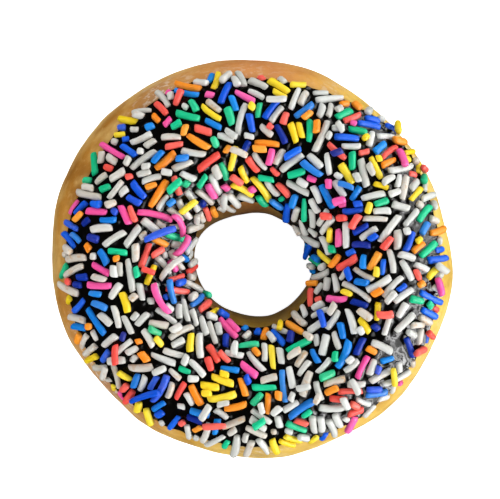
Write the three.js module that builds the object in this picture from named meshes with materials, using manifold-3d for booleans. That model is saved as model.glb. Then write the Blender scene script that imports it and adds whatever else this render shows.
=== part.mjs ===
// Ring doughnut: a yeast-raised, fried ring of dough, dipped in dark chocolate frosting and
// strewn with sugar sprinkles. Millimetres, +Z up. It rests on z = 0 on the small flat band
// that its own weight presses under the ring, with its outline centred on the origin.
import * as THREE from "three";
import { mergeVertices } from "three/addons/utils/BufferGeometryUtils.js";
import Module from "manifold-3d";

// Dough ring. A wave is [crests round the ring, height, angle of its first crest in degrees].
const OUTER_RADIUS = 46.9;
const OUTER_WAVES = [[2, 0.88, -42], [3, 0.11, -28], [4, 0.14, -8], [5, 0.08, -6], [9, 0.17, -5],
  [10, 0.11, -11]];
const HOLE_RADIUS = 12.9;
const HOLE_WAVES = [[1, 1.47, -65], [2, 0.93, -12], [3, 0.15, 25], [4, 0.18, -6], [5, 0.2, 2]];
const WAIST_HEIGHT = 15.5; // where the ring is widest
const CROWN_RISE = 17; // from the waist to the crown
const CROWN_WAVES = [[1, 0.35, 150], [2, 0.3, 20]];
const UPPER_FULLNESS = 2.2; // 2 is a plain ellipse, more is squarer
const LOWER_FULLNESS = 2.1;
const FOOT_PRESS = 1.06; // how far the round underside would reach if it were not pressed flat

// Frosting: a skin over the crown with a soft lip and two wandering edges
const FROSTING_OUTER = 42.4;
const FROSTING_OUTER_WAVES = [[1, 0.89, -41], [2, 0.3, -13], [4, 0.38, 35], [5, 0.24, -32], [6, 0.18, -14],
  [11, 0.12, 8]];
const FROSTING_INNER = 15.1;
const FROSTING_INNER_WAVES = [[1, 1.44, -85], [2, 0.71, -47], [3, 0.12, -43], [4, 0.11, -11]];
const FROSTING_GAP = 0.4; // between the dough's skin and the underside of the frosting
const FROSTING_THICKNESS = 1.4; // on the crown
const EDGE_THICKNESS = 0.9;
const LIP_SHARE = 0.02; // of the way across, taken up by each rounded lip

// Sprinkles: sugar rods, longest first. LENGTHS gives [share of all sprinkles, length there].
const SPRINKLES = 770; // on the whole doughnut
const MODELLED = 166; // the longest of them, about one in five, are solid here
const LENGTHS = [[0, 7.8], [0.04, 6.1], [0.22, 4.8], [0.43, 3.9], [0.65, 3.0], [0.86, 2.2], [1, 1.4]];
const SPRINKLE_RADIUS = 0.82;
const RADIUS_SPREAD = 0.12; // thicker or thinner by this share
const SUNK = 0.5; // how deep a sprinkle lies in the frosting
const BEND_SHARE = 0.07; // greatest bow of a long sprinkle, as a share of its length
const BENT_FROM = 6; // shorter ones are straight
const MARGIN = 0.01; // least share of the way across from an edge to the middle of a sprinkle
const ACROSS = 45; // from edge to edge of the frosting, over the crown
const HUNG = -0.02; // share across that an end may reach past the inner edge
const DRAPED = [[122, 14, 0.12], [212, 34, 0.09]]; // and more round these: [degrees, spread, share]
const OVERHANG = 2; // and how far over the hole, at the most
const RIM_SHARE = 0.16; // nearest the outer edge, where they tend to point down the slope
const RIM_TURN = 0.75; // share of a free turn that they have there
const HOLE_SHARE = 0.2; // nearest the hole, where they do the same
const HOLE_TURN = 0.6;
const STEEP_SHARE = 0.35; // nearest the outer edge, where the slope is steep
const STEEP_LOSS = 0.55; // share of them that rolled off right at that edge
const SEED = 20611;
const TRIES = 8; // places looked at for each sprinkle, of which the roomiest is taken
const ROOM = 0.1; // least gap between sprinkles
const DOUGH_ROOM = 0.3; // least gap from the end of a sprinkle to the dough

// Thin places, where few sprinkles stuck: [angle in degrees, distance from the axis, reach]
const BARE_LOSS = 0.95; // share of them missing at the middle of one
const BARE = [[172, 37, 5.5], [126, 36, 5], [243, 38.5, 5.5], [204, 27, 4], [329, 38.5, 6], [278, 39, 4],
  [335, 19, 3.5], [270, 18, 3.5], [48, 22, 3], [97, 21, 3], [192, 39.5, 4], [222, 31, 4], [307, 26, 3],
  [5, 26, 3]];

// Facets
const ROUND_FACETS = 48;
const DOUGH_FACETS = 20;
const TOP_FACETS = 8;
const UNDER_FACETS = 6;

const wasm = await Module();
wasm.setup();

const radians = (degrees) => degrees * Math.PI / 180;
const clamp = (value, limit) => Math.max(-limit, Math.min(limit, value));

function waves(angle, list) {
  return list.reduce((sum, [crests, height, at]) => {
    return sum + height * Math.cos(crests * (angle - radians(at)));
  }, 0);
}

// Radii of the dough at an angle round the ring, and middle and half width of its section
function ring(angle) {
  const outer = OUTER_RADIUS + waves(angle, OUTER_WAVES);
  const hole = HOLE_RADIUS + waves(angle, HOLE_WAVES);
  return { outer, hole, middle: (outer + hole) / 2, half: (outer - hole) / 2 };
}

// A cosine or sine made squarer than that of a plain ellipse
const fuller = (value, fullness) => Math.sign(value) * Math.abs(value) ** (2 / fullness);

// Section of the dough: a turn of 0 faces outwards, a quarter turn is the crown and half a
// turn faces the hole. Out is a share of the half width, up is in millimetres.
function section(turn, angle) {
  if (Math.sin(turn) < 0) {
    const depth = FOOT_PRESS * Math.abs(fuller(Math.sin(turn), LOWER_FULLNESS));
    return { out: fuller(Math.cos(turn), LOWER_FULLNESS), up: WAIST_HEIGHT * Math.max(0, 1 - depth) };
  }
  const rise = CROWN_RISE + waves(angle, CROWN_WAVES);
  return { out: fuller(Math.cos(turn), UPPER_FULLNESS),
    up: WAIST_HEIGHT + rise * fuller(Math.sin(turn), UPPER_FULLNESS) };
}

// Point at a height above the dough's skin, and the way out of the skin there
function skin(angle, turn, height) {
  const { middle, half } = ring(angle);
  const here = section(turn, angle);
  const next = section(turn + 0.001, angle);
  const last = section(turn - 0.001, angle);
  const slope = Math.hypot(half * (next.out - last.out), next.up - last.up);
  const away = (next.up - last.up) / slope;
  const rise = -half * (next.out - last.out) / slope;
  const radius = middle + half * here.out + height * away;
  return {
    point: new THREE.Vector3(radius * Math.cos(angle), radius * Math.sin(angle), here.up + height * rise),
    normal: new THREE.Vector3(away * Math.cos(angle), away * Math.sin(angle), rise),
  };
}

// Turn of the section at a distance from the ring's axis, on the upper side
function turnAt(angle, radius) {
  const { middle, half } = ring(angle);
  const out = clamp((radius - middle) / half, 1);
  return Math.acos(fuller(out, 4 / UPPER_FULLNESS));
}

// Turn at a share of the way across the frosting, from its outer edge (0) to its inner one (1)
function across(angle, share) {
  const outer = turnAt(angle, FROSTING_OUTER + waves(angle, FROSTING_OUTER_WAVES));
  const inner = turnAt(angle, FROSTING_INNER + waves(angle, FROSTING_INNER_WAVES));
  return outer + (inner - outer) * share;
}

// Height of the frosting's top above the dough's skin, at a share of the way across
function topHeight(share) {
  const bare = (2 * share - 1) ** 4;
  return FROSTING_GAP + FROSTING_THICKNESS + (EDGE_THICKNESS - FROSTING_THICKNESS) * bare;
}

// A turned shape with its axis stood up along Z, and every point of it then moved by a rule
function turned(profile, rule) {
  const geometry = new THREE.LatheGeometry(profile, ROUND_FACETS).rotateX(Math.PI / 2);
  const points = geometry.attributes.position;
  for (let i = 0; i < points.count; i++) {
    const angle = Math.atan2(points.getY(i), points.getX(i));
    const moved = rule(angle, Math.hypot(points.getX(i), points.getY(i)), points.getZ(i));
    points.setXYZ(i, moved.x, moved.y, moved.z);
  }
  return solid(geometry);
}

function solid(geometry) {
  geometry.deleteAttribute("normal");
  geometry.deleteAttribute("uv");
  const merged = mergeVertices(geometry);
  return new wasm.Manifold(new wasm.Mesh({
    numProp: 3, vertProperties: merged.attributes.position.array, triVerts: merged.index.array,
  }));
}

function meshOf(name, manifold, material) {
  const { vertProperties, triVerts } = manifold.getMesh();
  const geometry = new THREE.BufferGeometry();
  geometry.setAttribute("position", new THREE.BufferAttribute(vertProperties, 3));
  geometry.setIndex(new THREE.BufferAttribute(triVerts, 1));
  geometry.computeVertexNormals();
  const mesh = new THREE.Mesh(geometry, material);
  mesh.name = name;
  return mesh;
}

// The ring is turned as a true round, then given its uneven outline and crown
function dough() {
  const middle = (OUTER_RADIUS + HOLE_RADIUS) / 2;
  const half = (OUTER_RADIUS - HOLE_RADIUS) / 2;
  const profile = [];
  for (let i = 0; i <= DOUGH_FACETS; i++) {
    const turn = i * 2 * Math.PI / DOUGH_FACETS;
    profile.push(new THREE.Vector2(middle + half * Math.cos(turn), half * Math.sin(turn)));
  }
  return turned(profile, (angle, radius, height) => {
    return skin(angle, Math.atan2(height, radius - middle), 0).point;
  });
}

// The frosting is turned as a flat washer, 1 mm of radius for the whole way across, and then
// laid over the crown
function frosting() {
  const lip = FROSTING_GAP + 0.45 * EDGE_THICKNESS;
  const profile = [new THREE.Vector2(1, lip)];
  for (let i = 0; i <= TOP_FACETS; i++) {
    const share = LIP_SHARE + (1 - 2 * LIP_SHARE) * i / TOP_FACETS;
    profile.push(new THREE.Vector2(1 + share, topHeight(share)));
  }
  profile.push(new THREE.Vector2(2, lip));
  for (let i = UNDER_FACETS; i >= 0; i--) {
    profile.push(new THREE.Vector2(1 + LIP_SHARE / 2 + (1 - LIP_SHARE) * i / UNDER_FACETS, FROSTING_GAP));
  }
  profile.push(profile[0].clone());
  return turned(profile, (angle, radius, height) => skin(angle, across(angle, radius - 1), height).point);
}

// Even draws between 0 and 1, the same ones every time
function draws(seed) {
  let state = seed;
  return () => {
    state = (state * 48271) % 2147483647;
    return state / 2147483647;
  };
}

function lengthOf(share) {
  const next = LENGTHS.findIndex(([from]) => from > share);
  const [[low, long], [high, short]] = [LENGTHS[next - 1], LENGTHS[next]];
  return long + (short - long) * (share - low) / (high - low);
}

// How readily sprinkles stuck at a point, from 0 to 1
function cover(point) {
  return BARE.reduce((share, [at, radius, reach]) => {
    const middle = new THREE.Vector2(radius * Math.cos(radians(at)), radius * Math.sin(radians(at)));
    const off = Math.hypot(point.x - middle.x, point.y - middle.y);
    return share * (1 - BARE_LOSS * Math.exp(-((off / reach) ** 2)));
  }, 1);
}

// Angle between a sprinkle and the slope, at a share of the way across the frosting
function heading(share, draw) {
  const any = (draw - 0.5) * Math.PI;
  if (share < RIM_SHARE) return RIM_TURN * any;
  if (share > 1 - HOLE_SHARE) return HOLE_TURN * any;
  return any;
}

// One sprinkle laid at a drawn place on the frosting
function laid(length, draw) {
  const angle = draw() * 2 * Math.PI;
  const share = MARGIN + (1 - 2 * MARGIN) * draw();
  const radius = SPRINKLE_RADIUS * (1 + RADIUS_SPREAD * (2 * draw() - 1));
  const { point, normal } = skin(angle, across(angle, share), topHeight(share));
  const round = new THREE.Vector3(-Math.sin(angle), Math.cos(angle), 0);
  const slope = new THREE.Vector3().crossVectors(round, normal);
  const turn = heading(share, draw());
  const along = slope.multiplyScalar(Math.cos(turn)).addScaledVector(round, Math.sin(turn)).normalize();
  const sway = 2 * draw() - 1;
  const bow = length > BENT_FROM ? BEND_SHARE * length * sway : 0;
  const inner = share + Math.cos(turn) * length / 2 / ACROSS;
  return { centre: point.clone().addScaledVector(normal, radius - SUNK), along, normal, radius, length, bow,
    reach: length / 2 - 0.4 * radius, angle, share, inner, luck: draw() };
}

// Least distance between the middle lines of two sprinkles
function apart(one, two) {
  const between = one.centre.clone().sub(two.centre);
  const both = one.along.dot(two.along);
  const first = one.along.dot(between);
  const second = two.along.dot(between);
  const s = clamp((both * second - first) / Math.max(1e-9, 1 - both * both), one.reach);
  const t = clamp(both * s + second, two.reach);
  const back = clamp(both * t - first, one.reach);
  return between.addScaledVector(one.along, back).addScaledVector(two.along, -t).length();
}

// Gap to the nearest sprinkle already there
function gapTo(rod, others) {
  return others.reduce((least, other) => Math.min(least, apart(rod, other) - rod.radius - other.radius), 9);
}

// Rough height of a point above the upper half of the dough
function overDough(point) {
  const { middle, half } = ring(Math.atan2(point.y, point.x));
  const out = Math.abs(Math.hypot(point.x, point.y) - middle) / half;
  const up = Math.max(0, point.z - WAIST_HEIGHT) / CROWN_RISE;
  return half * ((out ** UPPER_FULLNESS + up ** UPPER_FULLNESS) ** (1 / UPPER_FULLNESS) - 1);
}

// Whether a sprinkle stays where it is laid
function stays(rod) {
  const wide = Math.hypot(rod.centre.x, rod.centre.y) / OUTER_RADIUS;
  const steep = 1 - STEEP_LOSS * Math.max(0, 1 - rod.share / STEEP_SHARE);
  return rod.luck <= wide * steep * cover(rod.centre) && within(rod);
}

// How far across the frosting an end may reach at an angle round the ring
function hung(angle) {
  return DRAPED.reduce((share, [at, spread, more]) => {
    const off = (angle * 180 / Math.PI - at + 540) % 360 - 180;
    return share + more * Math.exp(-((off / spread) ** 2));
  }, 1 + HUNG);
}

// Ends may hang over the hole here and there, but not past the outside of the dough, nor press
// into it
function within(rod) {
  return rod.inner < hung(rod.angle) && [-1, 1].every((end) => {
    const tip = rod.centre.clone().addScaledVector(rod.along, end * rod.length / 2);
    const distance = Math.hypot(tip.x, tip.y);
    const { outer, hole } = ring(Math.atan2(tip.y, tip.x));
    return distance < outer && distance > hole - OVERHANG && overDough(tip) > rod.radius + DOUGH_ROOM;
  });
}

// The longest sprinkles, each in the roomiest of a few places that are open to it
function sprinkles() {
  const draw = draws(SEED);
  const rods = [];
  for (let i = 0; i < MODELLED; i++) {
    const length = lengthOf(i / SPRINKLES);
    let best = null;
    let room = ROOM;
    for (let tries = 0; tries < TRIES || !best; tries++) {
      const rod = laid(length, draw);
      if (!stays(rod)) continue;
      const gap = gapTo(rod, rods);
      if (gap > room) [best, room] = [rod, gap];
    }
    rods.push(best);
  }
  return rods;
}

// Six-sided rod, in two halves where it is bowed sideways
function rodSolid(rod) {
  const geometry = new THREE.CylinderGeometry(rod.radius, rod.radius, rod.length, 6, rod.bow ? 2 : 1);
  const points = geometry.attributes.position;
  for (let i = 0; i < points.count; i++) {
    const end = 2 * points.getY(i) / rod.length;
    points.setX(i, points.getX(i) + rod.bow * (0.5 - end * end));
  }
  const side = new THREE.Vector3().crossVectors(rod.along, rod.normal);
  geometry.applyMatrix4(new THREE.Matrix4().makeBasis(side, rod.along, rod.normal).setPosition(rod.centre));
  return solid(geometry);
}

const fried = new THREE.MeshStandardMaterial({ color: "#cf9446", roughness: 0.6, metalness: 0 });
const chocolate = new THREE.MeshStandardMaterial({ color: "#2a1812", roughness: 0.3, metalness: 0 });

const group = new THREE.Group();
group.name = "sprinkle_frosted_doughnut";
group.add(meshOf("dough", dough(), fried));
group.add(meshOf("frosting", wasm.Manifold.union([frosting(), ...sprinkles().map(rodSolid)]), chocolate));

export default group;
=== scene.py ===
import math
from functools import lru_cache

import bmesh
import bpy
import numpy as np
from mathutils import Matrix, Vector, noise


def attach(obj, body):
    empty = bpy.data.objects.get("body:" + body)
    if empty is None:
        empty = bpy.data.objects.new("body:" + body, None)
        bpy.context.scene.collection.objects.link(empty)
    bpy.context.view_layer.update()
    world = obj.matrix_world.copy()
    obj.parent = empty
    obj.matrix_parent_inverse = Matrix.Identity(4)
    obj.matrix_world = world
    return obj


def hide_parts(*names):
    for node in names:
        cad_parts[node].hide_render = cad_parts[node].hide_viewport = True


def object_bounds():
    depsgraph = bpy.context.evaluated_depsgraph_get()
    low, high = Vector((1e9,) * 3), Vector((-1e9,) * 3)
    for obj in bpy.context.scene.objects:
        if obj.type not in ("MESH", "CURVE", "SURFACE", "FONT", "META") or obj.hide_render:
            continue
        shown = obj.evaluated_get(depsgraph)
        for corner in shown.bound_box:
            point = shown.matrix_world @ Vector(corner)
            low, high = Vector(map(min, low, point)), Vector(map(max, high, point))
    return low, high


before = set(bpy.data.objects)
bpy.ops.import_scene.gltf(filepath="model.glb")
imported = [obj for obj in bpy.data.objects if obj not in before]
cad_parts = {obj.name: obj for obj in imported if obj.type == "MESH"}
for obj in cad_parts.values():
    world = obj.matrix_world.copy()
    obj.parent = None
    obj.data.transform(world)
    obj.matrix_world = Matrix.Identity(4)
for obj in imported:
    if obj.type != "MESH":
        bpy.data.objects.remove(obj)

CAD_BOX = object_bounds()

bl_info = {
    "name": "Sprinkle frosted doughnut",
    "version": (1, 0, 0),
    "blender": (4, 5, 0),
    "location": "View3D > Sidebar > Doughnut",
    "description": "A yeast-raised ring doughnut with chocolate frosting and sugar sprinkles",
    "category": "Object",
}

MM = 0.001

# Dough ring, mm. A wave is (crests round the ring, height, angle of its first crest in degrees), and lumps
# are (height, size, seed).
OUTER_WAVES = ((2, 0.88, -42), (3, 0.11, -28), (4, 0.14, -8), (5, 0.08, -6), (9, 0.17, -5), (10, 0.11, -11))
HOLE_WAVES = ((1, 1.47, -65), (2, 0.93, -12), (3, 0.15, 25), (4, 0.18, -6), (5, 0.2, 2))
CROWN_WAVES = ((1, 0.35, 150), (2, 0.3, 20))
UPPER_FULLNESS = 2.2  # 2 is a plain ellipse, more is squarer
LOWER_FULLNESS = 2.1
FOOT_PRESS = 1.06  # how far the round underside would reach if it were not pressed flat
DOUGH_LUMPS = ((0.22, 10, 1), (0.07, 3.6, 2))
DOUGH_SUNK = 0.05  # how far the lumps are lowered
DOUGH_LOWEST, DOUGH_HIGHEST = -0.4, 0.22
FOOT_FREE = 4  # height from which the skin is fully uneven, above the flat foot
DOUGH_POINTS = 132  # round the section
DOUGH_STEPS = 264  # round the axis

# Frosting, mm
FROSTING_OUTER_WAVES = ((1, 0.89, -41), (2, 0.3, -13), (4, 0.38, 35), (5, 0.24, -32), (6, 0.18, -14),
                        (11, 0.12, 8))
FROSTING_INNER_WAVES = ((1, 1.44, -85), (2, 0.71, -47), (3, 0.12, -43), (4, 0.11, -11))
FROSTING_GAP = 0.4  # the frosting's thickness is measured from this height above the skin
FROSTING_BASE = -0.45  # underside of the visible frosting, which lies in the skin so that no gap shows
FROSTING_LUMPS = ((0.14, 5.5, 5), (0.1, 2.1, 6))
FROSTING_CUTS = 35  # along the strip's top, from edge to edge
FROSTING_STEPS = 144  # round the axis
FROSTING_GRID = 3  # cuts in every edge of the turned strip
LIP_ROUND = 0.03  # of the way across, taken up by each rounded lip
LIP_FINE = 0.06  # how much closer together the points lie near the lips
LIP_START = 0.25  # share of the frosting's height at which a lip starts to round
CLIMB = 0.36  # how high the frosting climbs up a sprinkle
CLIMB_WIDTH = 0.42  # distance over which that fades
CLIMB_REACH = 2  # how far past a sprinkle's ends it is worked out

# Dough skin. Blotches are drawn out along the rim as if the ring had only this radius, in mm. Dried glaze,
# gold lightly fried skin, ruddy and browned skin lie round these angles: (degrees, spread, strength).
DRAWN_OUT = 32
GLAZED = ((32, 15, 0.55), (64, 5, 0.4), (92, 14, 0.35), (118, 9, 0.8), (218, 15, 1), (272, 9, 0.65),
          (335, 9, 0.5))
GLAZE_WIDTH = 9  # mm down from the frosting
GOLDEN = ((14, 48, 1), (56, 16, 0.5), (272, 24, 0.85), (322, 28, 0.65))
RUDDY = ((86, 24, 0.6), (220, 20, 0.3))
BROWNED = ((45, 14, -0.4), (138, 24, 0.55), (180, 20, 0.3), (222, 18, 0.25), (315, 16, 0.25))
HOLE_SHADE = 1.2  # painted shade, with somewhat browner skin: how much darker the wall of the hole is
WALL_FROM, WALL_OVER = 0.62, 0.25  # half turns of the section to where that starts, and over which it grows
EDGE_SHADE_WIDTH = 0.9  # mm over which the painted shadow beside the frosting's edge fades
BAND = (13.5, 27.5)  # mm, foot and top of the pale band round the waist
BAND_WANDER = 8  # mm that it wanders up and down
BAND_PALENESS = ((0, 0), (1, 0), (0.3, 0.85), (0.55, 0.75))  # (share of the way up, paleness), its ends first

# Sprinkles, mm. The longest ones, as many as MODELLED, lie where the solids have them.
SPRINKLES = 770
MODELLED = 166
SEED = 20611
LENGTHS = ((0, 7.8), (0.04, 6.1), (0.22, 4.8), (0.43, 3.9), (0.65, 3.0), (0.86, 2.2), (1, 1.4))
RADIUS_SPREAD = 0.12  # share of the mean by which one may be thicker or thinner
CRUMB_THICKNESS = 0.55  # share of the full thickness that a crumb of no length would have
THICKENING = 0.25  # what each mm of length adds to that share
BEND_SHARE = 0.07  # most bow, as a share of the length, of those longer than BENT_FROM
BENT_FROM = 6
BLUNT_END = 0.4  # share of its radius that a sprinkle's middle line stops short of either tip
ACROSS = 45  # from edge to edge of the frosting, over the crown
MARGIN = 0.01  # share across, at both edges, where no modelled one has its middle
HUNG = -0.02  # share across that an end may reach past the inner edge: it has to stop short of it
DRAPED = ((122, 14, 0.12), (212, 34, 0.09))  # but may reach further round these: (degrees, spread, share)
OVERHANG = 2  # how far past the dough an end may hang over the hole
DOUGH_ROOM = 0.3  # gap between an end and the dough
RIM_SHARE = 0.16  # share across, at the outer edge, where they point more up and down the slope
RIM_TURN = 0.75  # how freely they turn there, where 1 is any way
HOLE_SHARE = 0.2  # the same beside the hole
HOLE_TURN = 0.6
STEEP_SHARE = 0.35  # share across, at the outer edge, where some rolled off
STEEP_LOSS = 0.55  # share of them that did so right at the edge
# Patches that few stuck to: (degrees, mm from the axis, reach)
BARE = ((172, 37, 5.5), (126, 36, 5), (243, 38.5, 5.5), (204, 27, 4), (329, 38.5, 6), (278, 39, 4),
        (335, 19, 3.5), (270, 18, 3.5), (48, 22, 3), (97, 21, 3), (192, 39.5, 4), (222, 31, 4), (307, 26, 3),
        (5, 26, 3))
BARE_LOSS = 0.95
TRIES = 8  # places looked at for each of the modelled ones, and then one more at a time
ROOM = 0.1  # gap that they keep
FAR = 9.0  # gaps are measured up to this
NO_ROOM = -9.0  # stands for the gap at a place that isn't open

# The others may reach out over the dough from the frosting, and press into it and each other a little.
LOOSE_FROM = -0.06  # share of the way across the frosting
LOOSE_TO = 1.02
HELD = 0.035  # share that one end lies in from the frosting's edge, at the least
LOOSE_ROOM = -0.35
LOOSE_LOSS = 0.84  # share of them that rolled off right at the outer edge
KEPT_BACK = ((62, 42, 0.06), (285, 45, 0.035))  # where they stop short of the hole: (degrees, spread, share)
ON_DOUGH = 0.45  # height of the bed of a sprinkle that lies on the dough
TEETER = 0.4  # share of the slope that one takes up where the bed is higher under its middle than its ends
LOOSE_TRIES = 60  # places drawn for each of them
PLACES = 7  # places looked at for each of them, and thrice that for those shorter than SHORT
SHORT = 2.6
TOUCH = -0.04  # sprinkles press together by up to this much
MEETING = 5  # room past their reach within which two sprinkles could meet
PUSHES = (0.9, 0.7, 0.5, 0.35, 0.25)  # steps in which one is pushed into a gap
PUSH_TRIES = 20  # ways tried at each step
TWIST = 0.4  # radians that a push of 1 mm may turn it
TILTS = (0, 8, -8, 15, -15, 22, -22)  # degrees that one on top of others may be tipped
LIFT_STEP = 0.1
HIGHEST = 1.9  # how far those under it may lift one that is laid across them on purpose
PILED = 1.1  # how far they may lift any other
REST_TRIES = 6  # places where it is tried on top
CROSSED = -0.8  # gap below which one would lie well across another
BESIDE = 3.5  # two sprinkles hide each other if their middles are closer than this
ALIGNED = 0.8  # and the cosine of the angle between them is above this
LONG_ONE_IN, LONGER = 13, 2.5  # one in so many is longer by up to so much
CROSSING_ONE_IN, CROSSING_AT = 9, 4  # one in so many is laid across others
TOP_SHARE = 1.022  # height that those on top stay under, as a share of the solids' height
# Long ones laid one by one: x and y, degrees from the X axis, length, bow to their right, piece
LAID = (
    (-22.3, 10.2, -13, 8.4, -0.5, "pink"), (-18.0, 8.7, -59, 6.2, -1.0, "pink"),
    (-18.4, 3.5, 59, 5.6, 0.8, "pink"), (-20.2, -2.2, 47, 7.4, -0.7, "white"),
    (-22.0, 6.1, 21, 7.8, -0.3, "blue"), (-21.6, -9.6, -61, 7.8, 0.8, "pink"),
    (-19.6, -8.1, -68, 5.8, 0.3, "light_blue"), (-23.2, -30.1, 25, 8.6, -0.3, "blue"),
)
LAID_HIGHEST = 3.2  # how far those under one of these may lift it

# How one sprinkle differs from the plain one. A draw spreads over each of the first five.
TAPER = 0.26  # share by which one end is thicker
BELLY = 0.12  # share by which the middle is thicker
OVAL = 0.16  # share by which it is wider than high
SLANT = 0.6  # how far its ends are cut aslant
SLIGHT_BOW = 0.11  # bow of those that aren't bent, as a share of the length
WARM_WHITES = ((176, 52, 1.0),)  # where the white ones are tinted towards the crumb colour, near the outer edge: (degrees, spread, strength)
WARM_WHITES_SHARE = 0.45  # share across over which that fades
STAIN_POWER = 4  # the higher, the fewer are stained
STAIN_SHOWS = 0.2  # how much of a stain shows on the coloured ones

# The plain sprinkle, of radius 1 and from -1 to 1
ROD_SIDES = 8
ROD_ROUNDING = 0.48  # how far in its ends are rounded
ROD_RINGS = (-0.25, 0.25)  # further rings of points along it
ROD_END = 0.68  # from here to its tip an end keeps its form, whatever the length
SHADE_FROM, SHADE_OVER = 0.35, 0.8  # painted shade darkens it from this height down, and fully this much lower
ROD_MARKS = ("tone", "stain", "low_shade")

# Which sprinkles there are: piece, share of all, colour, lighter colour
KINDS = (
    ("white", 0.465, "#c0c2bc", "#e1e3df"),
    ("light_blue", 0.072, "#006ccc", "#1494f0"),
    ("blue", 0.071, "#0048cc", "#0a6cf0"),
    ("dark_blue", 0.032, "#001f80", "#0038b4"),
    ("coral", 0.09, "#ee4138", "#ff7064"),
    ("yellow", 0.083, "#f6d010", "#ffe640"),
    ("orange", 0.071, "#fb8608", "#ffa838"),
    ("pink", 0.042, "#f34396", "#ff6cb6"),
    ("green", 0.074, "#00b278", "#14d69c"),
)
STUCK_CRUMBS = "#c99a5c"  # fat and dough on a stained sprinkle
PAINTED_SHADE = "#7c7974"  # painted shade: what a sprinkle's colour is multiplied by on its lower sides

# Stage, in metres and watts. The softboxes light the doughnut. The panes round its right-hand side, and the
# one above them, are only mirrored in it.
SOFTBOXES = (  # name, place, width, height, power
    ("window", (0.75, -0.12, 0.33), 1.6, 0.45, 11.0),
    ("fill_left", (-0.72, 0.1, 0.25), 0.7, 0.4, 3.4),
    ("fill_far", (0.05, 0.72, 0.25), 0.7, 0.4, 3.0),
    ("fill_near", (-0.05, -0.72, 0.25), 0.7, 0.4, 3.5),
    ("ceiling", (0, 0, 1.3), 1.0, 1.0, 6.0),
)
PANES = ((-61, 2.1), (-43, 5.4), (-25, 6.0), (-7, 3.9), (11, 2.8), (29, 2.3), (47, 1.8))  # degrees and power
PANE_AWAY, PANE_UP = 0.76, 0.18  # from the axis, and above the floor
PANE_WIDE, PANE_TALL = 0.15, 0.8
PANES_HIGH = ("panes_high", (0.472, -0.273, 0.585), 0.5, 0.49, 2.2)
WORLD_STRENGTH = 0.03
FLOOR_HALF = 1.5  # half of the floor's width
FLOOR_DROP = 0.0001  # the floor lies this much lower than the foot
FLOOR_WHITE = "#f2f2f0"
CAMERA_UP = 0.55  # above the floor
FRAME_WIDTH = 500  # pixels
PIXEL = 0.2358 * MM  # what one of them covers at the height of the waist
CAMERA_ASIDE = (-0.6, 9.1)  # pixels from the axis, along X and Y
SENSOR = 36  # mm


def linear(colour):
    """An sRGB hex colour as linear red, green, blue and an alpha of 1."""
    values = [int(colour[i:i + 2], 16) / 255 for i in (1, 3, 5)]
    return [v / 12.92 if v <= 0.04045 else ((v + 0.055) / 1.055) ** 2.4 for v in values] + [1.0]


def metres(value, name, text):
    """A length, given in mm."""
    return bpy.props.FloatProperty(name=name, description=text, default=value * MM, min=0, precision=5,
                                   unit="LENGTH", subtype="DISTANCE")


def tint(value, name, text):
    """A colour, given as sRGB hex."""
    return bpy.props.FloatVectorProperty(name=name, description=text, default=linear(value), size=4, min=0,
                                         max=1, subtype="COLOR")


class DoughnutSizes(bpy.types.PropertyGroup):
    """Sizes of the ring, its frosting and its sprinkles."""
    outer_radius: metres(46.9, "Outer radius", "Mean radius of the ring's outside")
    hole_radius: metres(12.9, "Hole radius", "Mean radius of the hole")
    waist_height: metres(15.5, "Waist height", "Height at which the ring is widest")
    crown_rise: metres(17, "Crown rise", "From the waist up to the crown")
    frosting_outer: metres(42.4, "Frosting outer radius", "Mean radius of the frosting's outer edge")
    frosting_inner: metres(15.1, "Frosting inner radius", "Mean radius of the frosting's inner edge")
    frosting_thickness: metres(1.4, "Frosting thickness", "Thickness of the frosting on the crown")
    edge_thickness: metres(0.9, "Edge thickness", "Thickness of the frosting near its edges")
    sprinkle_radius: metres(0.82, "Sprinkle radius", "Mean radius of a sprinkle")
    sunk: metres(0.5, "Sunk", "How deep a sprinkle lies in the frosting")
    sprinkles: bpy.props.IntProperty(name="Sprinkles", description="How many there are", default=SPRINKLES,
                                     min=MODELLED)


class DoughnutColours(bpy.types.PropertyGroup):
    """Colours of the dough and the frosting."""
    dough: tint("#d6983e", "Dough", "Browned skin")
    dough_gold: tint("#efcb55", "Golden dough", "Skin of the side that was fried more lightly")
    dough_pale: tint("#efcf82", "Pale dough", "Skin round the waist, which floated clear of the oil")
    dough_dark: tint("#8f5a1c", "Dark dough", "Deepest browned skin")
    dough_ruddy: tint("#dc8a50", "Ruddy dough", "Skin of the side with a pink blush")
    dough_shade: tint("#5a3510", "Stained dough", "Skin that chocolate fat or steam has darkened")
    # painted shade: the colour of the shadow beside the frosting and of the shaded wall of the hole
    glaze: tint("#e8dfcf", "Dried glaze", "Flakes of dried sugar on the dough near the frosting")
    frosting: tint("#050403", "Frosting", "Dark chocolate frosting")


@lru_cache(maxsize=None)
def size(name):
    """One of the sizes in millimetres, without the rounding of a stored 32-bit number."""
    return round(getattr(bpy.context.scene.doughnut_sizes, name) * 1000, 4)


# ---------------------------------------------------------------- the ring's shape

def waves(angle, crests):
    """The sum of some waves at an angle round the ring."""
    return sum(height * np.cos(count * (angle - math.radians(at))) for count, height, at in crests)


def patches(angle, spots):
    """How strong some patches round the ring are at an angle."""
    return sum(strength * np.exp(-(((np.degrees(angle) - at + 180) % 360 - 180) / spread) ** 2)
               for at, spread, strength in spots)


def outside(angle):
    """The ring's outer radius at an angle."""
    return size("outer_radius") + waves(angle, OUTER_WAVES)


def inside(angle):
    """The hole's radius at an angle."""
    return size("hole_radius") + waves(angle, HOLE_WAVES)


def ring(angle):
    """Middle and half width of the dough's section at an angle round the ring."""
    return (outside(angle) + inside(angle)) / 2, (outside(angle) - inside(angle)) / 2


def fuller(value, fullness):
    """A cosine or sine made squarer than that of a plain ellipse."""
    return np.sign(value) * np.abs(value) ** (2 / fullness)


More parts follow.
